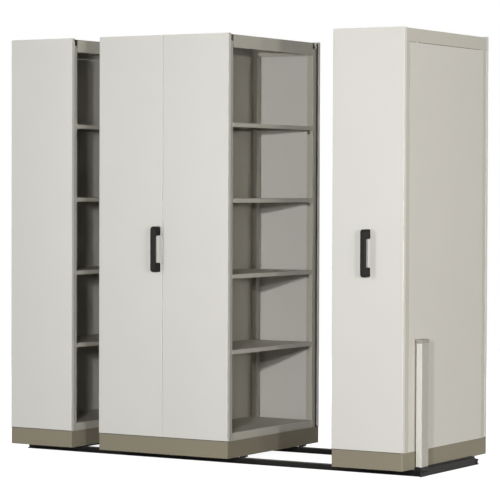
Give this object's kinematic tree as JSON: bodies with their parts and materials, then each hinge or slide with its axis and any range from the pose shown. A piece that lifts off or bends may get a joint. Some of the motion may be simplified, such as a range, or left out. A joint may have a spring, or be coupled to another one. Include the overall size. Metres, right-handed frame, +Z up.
{
  "type": "mobile compactor shelving",
  "caption": "Hand-pushed mobile compactor shelving: a fixed steel shelf bay, a double-faced and a single-faced rolling bay on a two-rail floor track with an end post.",
  "frame": {"origin": "on the floor, at the middle of the bounding box", "axes": "+X along the track from the fixed bay to the end post, +Y into the bays from the handle end, +Z up"},
  "size_m": [2.332, 0.965, 2.134],
  "materials": {
    "panel_paint": "smooth powder coat, low sheen, warm light grey",
    "shelf_paint": "smooth powder coat, low sheen, stone grey",
    "plinth_paint": "satin powder coat, taupe grey",
    "black_paint": "satin black paint over rolled steel",
    "zinc_steel": "bright zinc plate",
    "wheel_steel": "turned tread, grey casting",
    "rubber": "matt black rubber",
    "handle_black": "fine-textured black moulding",
    "cap_plastic": "mid grey moulding, fine texture"
  },
  "bodies": {
    "track": {"rail_front": "black_paint", "rail_rear": "black_paint", "track_ties": "black_paint", "track_bolts": "zinc_steel", "end_post": "panel_paint", "end_post_cap": "cap_plastic", "end_post_shoe": "black_paint", "end_buffer": "rubber", "left_base": "black_paint", "left_plinth": "plinth_paint", "left_front_panel": "panel_paint", "left_rear_panel": "panel_paint", "left_posts": "shelf_paint", "left_back_panel": "shelf_paint", "left_top_cover": "shelf_paint", "left_base_shelf": "shelf_paint", "left_shelves": "shelf_paint", "left_shelf_clips": "zinc_steel", "left_edge_strips": "rubber"},
    "middle_bay": {"middle_chassis": "black_paint", "middle_plinth": "plinth_paint", "middle_front_panels": "panel_paint", "middle_rear_panels": "panel_paint", "middle_posts": "shelf_paint", "middle_back_panel": "shelf_paint", "middle_top_cover": "shelf_paint", "middle_base_shelves": "shelf_paint", "middle_shelves_left": "shelf_paint", "middle_shelves_right": "shelf_paint", "middle_shelf_clips": "zinc_steel", "middle_edge_strips": "rubber", "middle_handle": "handle_black", "middle_handle_screws": "zinc_steel", "middle_bearings": "wheel_steel", "middle_hooks": "black_paint", "middle_buffers": "rubber"},
    "right_bay": {"right_chassis": "black_paint", "right_plinth": "plinth_paint", "right_front_panel": "panel_paint", "right_rear_panel": "panel_paint", "right_posts": "shelf_paint", "right_back_panel": "shelf_paint", "right_top_cover": "shelf_paint", "right_base_shelf": "shelf_paint", "right_shelves": "shelf_paint", "right_shelf_clips": "zinc_steel", "right_edge_strips": "rubber", "right_handle": "handle_black", "right_handle_screws": "zinc_steel", "right_bearings": "wheel_steel", "right_hooks": "black_paint", "right_buffers": "rubber"},
    "middle_left_wheelset": {"middle_axle_left": "zinc_steel", "middle_wheels_left": "wheel_steel"},
    "middle_right_wheelset": {"middle_axle_right": "zinc_steel", "middle_wheels_right": "wheel_steel"},
    "right_left_wheelset": {"right_axle_left": "zinc_steel", "right_wheels_left": "wheel_steel"},
    "right_right_wheelset": {"right_axle_right": "zinc_steel", "right_wheels_right": "wheel_steel"}
  },
  "joints": [
    {"name": "middle_slide", "type": "slide", "parent": "track", "child": "middle_bay", "axis": [1, 0, 0], "range_m": [-0.157, 0.286]},
    {"name": "right_slide", "type": "slide", "parent": "track", "child": "right_bay", "axis": [1, 0, 0], "range_m": [-0.286, 0]},
    {"name": "middle_left_roll", "type": "hinge", "parent": "middle_bay", "child": "middle_left_wheelset", "pos_m": [-0.516, 0.025, 0.0683], "axis": [0, 1, 0], "continuous": true},
    {"name": "middle_right_roll", "type": "hinge", "parent": "middle_bay", "child": "middle_right_wheelset", "pos_m": [0.064, 0.025, 0.0683], "axis": [0, 1, 0], "continuous": true},
    {"name": "right_left_roll", "type": "hinge", "parent": "right_bay", "child": "right_left_wheelset", "pos_m": [0.839, 0.025, 0.0683], "axis": [0, 1, 0], "continuous": true},
    {"name": "right_right_roll", "type": "hinge", "parent": "right_bay", "child": "right_right_wheelset", "pos_m": [1.034, 0.025, 0.0683], "axis": [0, 1, 0], "continuous": true}
  ],
  "couplings": [
    {"joint": "middle_left_roll", "follows": "middle_slide", "rad_per_m": 25},
    {"joint": "middle_right_roll", "follows": "middle_slide", "rad_per_m": 25},
    {"joint": "right_left_roll", "follows": "right_slide", "rad_per_m": 25},
    {"joint": "right_right_roll", "follows": "right_slide", "rad_per_m": 25}
  ]
}
